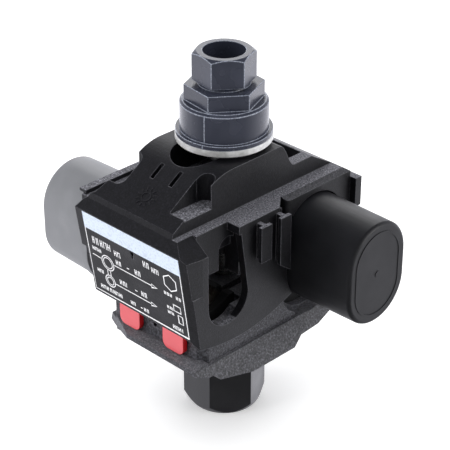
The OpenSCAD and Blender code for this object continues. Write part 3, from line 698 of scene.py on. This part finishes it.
class CONNECTOR_OT_print(bpy.types.Operator):
    """Prints the pale strip, the border and the plain signs on the label panel"""
    bl_idname = "connector.print"
    bl_label = "Label print"

    def execute(self, context):
        size = context.scene.connector_print
        ink = print_ink("label_white", size.white)
        pale = print_ink("label_strip", size.pale)
        sin, cos = math.sin(size.lean), math.cos(size.lean)

        def place(a, b, lift):
            return (a, -size.foot - b * sin - lift * cos, size.low + b * cos - lift * sin)

        bm = bmesh.new()
        prism(bm, oblong(-size.half, size.strip_low, size.half, size.strip_top), place, SINK, size.thick)
        new_piece("label_strip", bm, pale, "upper_body")

        bm = bmesh.new()
        thin, medium, bold = 0.2 * MM, 0.22 * MM, 0.26 * MM

        def line(points, width=size.line, closed=False):
            stroke(bm, [(a * MM, b * MM) for a, b in points], width, place, SINK, size.thick, closed)

        edge = size.half / MM - 0.15
        foot = 0.8
        top = size.strip_low / MM
        line([(-edge, top), (-edge, foot), (edge, foot), (edge, top)])
        for a, b, r, inner_r in PRINT_RINGS:
            line(circle(a, b, r), closed=True)
            line(circle(a, b, inner_r), thin, True)
        for a in (-10.0, -9.0):
            line([(a, 6.9), (a, 8.8)], thin)
        for start, end, b in PRINT_ARROWS:
            line([(start, b), (end, b)])
            line([(end, b + 0.5), (end + 1.8, b), (end, b - 0.5)], thin, True)
        line([(-14.4, 11.2), (-11.7, 11.0)])
        line(circle(11.8, 14.7, 2.2, 6, math.pi / 2), bold, True)
        for corners in PRINT_BOXES:
            line(oblong(*corners), thin, True)
        for row in PRINT_ROWS:
            print_row(bm, place, SINK, size.thick, *row)
        for start, b, run in PRINT_DASHES:
            line([(start, b), (start + run, b)], medium)
        new_piece("label_print", bm, ink, "upper_body")
        return {"FINISHED"}


# The print's plain signs, in millimetres along and up the panel. Rings: centre and both radii. Arrows:
# start, end and height. Boxes: two corners. Dashes: start, height and length. Rows of short strokes: start,
# foot, height and the gaps between strokes.
PRINT_RINGS = ((-9.4, 10.6, 2.0, 1.45), (-9.55, 5.4, 1.6, 1.05))
PRINT_ARROWS = ((-7.1, 5.2, 11.0), (-7.7, 4.1, 5.35))
PRINT_BOXES = ((11.8, 7.15, 14.0, 8.85), (12.9, 4.1, 14.3, 6.3))
PRINT_DASHES = ((-2.7, 12.3, 0.8), (-1.0, 6.8, 0.8), (0.0, 2.3, 0.6))
PRINT_ROWS = (
    (-13.5, 14.6, 1.9, (0.5, 0.75, 0.5, 0.85, 0.5, 0.6, 0.9, 0.5, 0.7)),
    (-6.3, 14.1, 1.5, (0.6, 0.5, 0.7)),
    (-14.0, 12.6, 1.0, (0.45, 0.4, 0.55, 0.4, 0.5, 0.4)),
    (-13.6, 6.5, 1.0, (0.5, 0.4, 0.55, 0.4)),
    (-6.2, 11.7, 1.3, (0.5, 0.55, 0.4)),
    (0.1, 11.7, 1.5, (0.5, 0.6, 0.5)),
    (-6.0, 6.2, 1.3, (0.5, 0.6, 0.5, 0.55)),
    (1.2, 6.2, 1.4, (0.5, 0.6, 0.45)),
    (3.5, 15.5, 1.6, (0.55, 0.6, 0.5)),
    (6.2, 15.2, 1.4, (0.5, 0.45, 0.6, 0.5)),
    (9.4, 10.7, 0.9, (0.4, 0.5, 0.4, 0.55, 0.4)),
    (13.2, 10.8, 0.9, (0.4, 0.5, 0.4)),
    (9.7, 6.9, 0.8, (0.4, 0.5, 0.4, 0.4)),
    (9.7, 5.5, 0.8, (0.4, 0.4, 0.5, 0.4)),
    (10.7, 1.6, 1.1, (0.5, 0.4, 0.5, 0.4, 0.55, 0.6)),
    (-13.4, 1.9, 1.1, (0.5, 0.4, 0.6, 0.5, 0.4, 0.7, 0.5, 0.6, 0.5, 0.4, 0.6, 0.5, 0.5, 0.4)),
    (-3.2, 1.8, 1.0, (0.45, 0.4, 0.5)),
    (1.2, 1.8, 1.0, (0.45, 0.5, 0.4)),
)


def print_row(bm, place, low, high, start, foot, tall, gaps):
    """One row of thin upright strokes, each a closed plate, with a short bar across every other gap."""
    half = 0.11
    at = start
    for i, gap in enumerate((*gaps, 0)):
        plates = [oblong(at - half, foot, at + half, foot + tall)]
        if gap and i % 2 == 0:
            mid = foot + tall * (0.9 if i % 4 else 0.5)
            plates.append(oblong(at + half, mid - half, at + gap - half, mid + half))
        for plate in plates:
            prism(bm, [(u * MM, v * MM) for u, v in plate], place, low, high)
        at += gap


def print_ink(name, colour):
    """Printed ink: slightly uneven cover and a satin surface."""
    material, tree, shader, coords = shader_tree(name)
    cover = noise(tree, coords, 0.5 * MM, 4.0, 0.65)
    tone = ramp(tree, cover, [(0.3, linear(colour, 0.72)), (0.5, linear(colour)),
                              (0.8, linear(colour, 1.05))])
    tree.links.new(tone, shader.inputs["Base Color"])
    tree.links.new(spread(tree, cover, 0.45, 0.6), shader.inputs["Roughness"])
    tree.links.new(bump(tree, cover, 0.01 * MM), shader.inputs["Normal"])
    return material


class CONNECTOR_OT_marks(bpy.types.Operator):
    """Adds the ring of moulded ticks on the upper jaw's roof"""
    bl_idname = "connector.marks"
    bl_label = "Mould marks"

    def execute(self, context):
        look = finish_of(context)
        # The ticks' edges take a paler colour as a painted highlight.
        black = moulded_plastic("roof_black", look.jaw_black, look.jaw_grain, 0.03 * MM, 0.46,
                                edges=(look.tick_edge_highlight, 0.1 * MM))
        skin = surface_of("upper_jaw")
        above = 90 * MM

        def on_roof(a, b, lift):
            hit, normal, _, _ = skin.ray_cast(Vector((a, b, above)), Vector((0, 0, -1)))
            if hit is None:
                raise RuntimeError("the roof has no surface under a mould mark")
            return hit + normal * lift

        mid_x, mid_y = -1.3 * MM, -23.0 * MM
        squeeze = 0.8  # the roof slopes, so the ring is drawn shorter along Y
        ticks, tick_w, tick_r = 12, 0.2 * MM, (1.75 * MM, 2.6 * MM)
        dial_r, dial_w = 1.2 * MM, 0.18 * MM
        proud = 0.1 * MM
        bm = bmesh.new()
        for i in range(ticks):
            angle = 2 * math.pi * i / ticks
            tick = [(mid_x + r * math.cos(angle), mid_y + squeeze * r * math.sin(angle)) for r in tick_r]
            stroke(bm, tick, tick_w, on_roof, SINK, proud)
        dial = [(mid_x + a, mid_y + squeeze * b) for a, b in circle(0, 0, dial_r, 28)]
        stroke(bm, dial, dial_w, on_roof, SINK, proud, True)
        new_piece("roof_tick_ring", bm, black, "upper_body")
        return {"FINISHED"}


class CONNECTOR_OT_stage(bpy.types.Operator):
    """Sets the floor, the soft studio light and the camera"""
    bl_idname = "connector.stage"
    bl_label = "Studio"

    def execute(self, context):
        studio = context.scene.connector_studio
        scene = context.scene
        scene.view_settings.view_transform = "Standard"
        camera = bpy.data.objects.new("camera", bpy.data.cameras.new("camera"))
        scene.collection.objects.link(camera)
        camera.location = studio.camera
        look = Vector(studio.target) - Vector(studio.camera)
        camera.rotation_euler = look.to_track_quat("-Z", "Y").to_euler()
        camera.data.lens = studio.lens
        camera.data.sensor_width = 36
        camera.data.clip_start = 0.01
        scene.camera = camera
        floor_plane(studio.floor)
        sky(scene, studio.sky)
        lamp("key", (0.0, -0.05, 1.2), 2.4, studio.key, False)
        for values in LAMPS:
            lamp(*values)
        return {"FINISHED"}


# The smaller lamps: name, place, size in metres, power in watts and whether they show in reflections
LAMPS = (
    ("side", (0.55, 0.25, 0.2), 0.4, 1.6, True),
    ("front", (-0.35, -0.6, 0.2), 0.5, 3.0, False),
    ("back", (-0.45, 0.5, 0.4), 0.6, 1.5, True),
)
LAMP_TARGET = Vector((0, 0, 0.045))
FLOOR_HALF = 40  # half the floor's width in metres
# Brightness of the sky by the height of a direction, from -1 straight down to 1 straight up
SKY_LEVELS = ((-1, 0.2), (-0.5, 1.0), (-0.2, 0.8), (0.1, 0.5), (0.5, 0.32), (0.68, 0.07))
SKY_TINT = 0.93  # share of red and green
SKY_BACK, SKY_FRONT = 2.0, 0.16  # shares of the sky's strength behind the connector and in front of it


def floor_plane(colour):
    """A wide pale floor with a faint unevenness."""
    material, tree, shader, coords = shader_tree("floor_pale")
    cloud = noise(tree, coords, 0.4, 2.0)
    tone = ramp(tree, cloud, [(0.3, linear(colour, 0.985)), (0.7, linear(colour))])
    tree.links.new(tone, shader.inputs["Base Color"])
    shader.inputs["Roughness"].default_value = 0.9
    shader.inputs["Specular IOR Level"].default_value = 0.1
    shader.inputs["Emission Color"].default_value = (1, 1, 1, 1)
    shader.inputs["Emission Strength"].default_value = 0.3
    bm = bmesh.new()
    bmesh.ops.create_grid(bm, x_segments=4, y_segments=4, size=FLOOR_HALF)
    mesh = bpy.data.meshes.new("floor")
    bm.to_mesh(mesh)
    bm.free()
    mesh.materials.append(material)
    floor = bpy.data.objects.new("floor", mesh)
    floor.location.z = CAD_BOX[0][2]
    bpy.context.scene.collection.objects.link(floor)
    floor.visible_glossy = False


def sky(scene, strength):
    """Light from the sides and the back, dim overhead and dimmer still from where the camera stands."""
    world = bpy.data.worlds.new("studio")
    scene.world = world
    world.use_nodes = True
    tree = world.node_tree
    direction = tree.nodes.new("ShaderNodeTexCoord").outputs["Generated"]
    height = ramp(tree, spread(tree, height_of(tree, direction), 0, 1, -1, 1), [
        (z / 2 + 0.5, (SKY_TINT * level, SKY_TINT * level, level, 1)) for z, level in SKY_LEVELS])
    facing = tree.nodes.new("ShaderNodeVectorMath")
    facing.operation = "DOT_PRODUCT"
    facing.inputs[1].default_value = (0.707, -0.707, 0)
    tree.links.new(direction, facing.inputs[0])
    side = spread(tree, facing.outputs["Value"], SKY_BACK * strength, SKY_FRONT * strength, -1, 0.6)
    backdrop = tree.nodes["Background"]
    tree.links.new(height, backdrop.inputs["Color"])
    tree.links.new(side, backdrop.inputs["Strength"])


def lamp(name, place, size, power, glossy):
    """A square soft light that faces the connector."""
    light = bpy.data.lights.new(name, "AREA")
    light.size = size
    light.energy = power
    lamp_object = bpy.data.objects.new(name, light)
    lamp_object.location = place
    aim = LAMP_TARGET - Vector(place)
    lamp_object.rotation_euler = aim.to_track_quat("-Z", "Y").to_euler()
    lamp_object.visible_glossy = glossy
    bpy.context.scene.collection.objects.link(lamp_object)


class VIEW3D_PT_connector(bpy.types.Panel):
    """Lists the connector's pieces and their sizes"""
    bl_label = "Piercing connector"
    bl_idname = "VIEW3D_PT_connector"
    bl_space_type = "VIEW_3D"
    bl_region_type = "UI"
    bl_category = "Connector"

    def draw(self, context):
        for operator in OPERATORS:
            self.layout.operator(operator.bl_idname)
        for name in GROUPS:
            box = self.layout.box()
            group = getattr(context.scene, name)
            for prop in group.bl_rna.properties:
                if prop.identifier not in ("rna_type", "name"):
                    box.prop(group, prop.identifier)


OPERATORS = (
    CONNECTOR_OT_jaws, CONNECTOR_OT_cover, CONNECTOR_OT_nut, CONNECTOR_OT_steel,
    CONNECTOR_OT_spring, CONNECTOR_OT_contacts, CONNECTOR_OT_tabs, CONNECTOR_OT_caps,
    CONNECTOR_OT_print, CONNECTOR_OT_marks, CONNECTOR_OT_stage,
)
GROUPS = {
    "connector_finish": ConnectorFinish,
    "connector_print": ConnectorPrint,
    "connector_clamp": ConnectorClamp,
    "connector_studio": ConnectorStudio,
}


def register():
    """Registers the classes and hangs the property groups on the scene."""
    for cls in (*GROUPS.values(), *OPERATORS, VIEW3D_PT_connector):
        bpy.utils.register_class(cls)
    for name, group in GROUPS.items():
        setattr(bpy.types.Scene, name, PointerProperty(type=group))


def unregister():
    """Takes back what register did."""
    for name in GROUPS:
        delattr(bpy.types.Scene, name)
    for cls in (VIEW3D_PT_connector, *reversed(OPERATORS), *reversed(GROUPS.values())):
        bpy.utils.unregister_class(cls)


def main():
    register()
    bpy.ops.connector.jaws()
    bpy.ops.connector.cover()
    bpy.ops.connector.nut()
    bpy.ops.connector.steel()
    bpy.ops.connector.spring()
    bpy.ops.connector.contacts()
    bpy.ops.connector.tabs()
    bpy.ops.connector.caps()
    bpy.ops.connector.print()
    bpy.ops.connector.marks()
    bpy.ops.connector.stage()


if __name__ == "__main__":
    main()
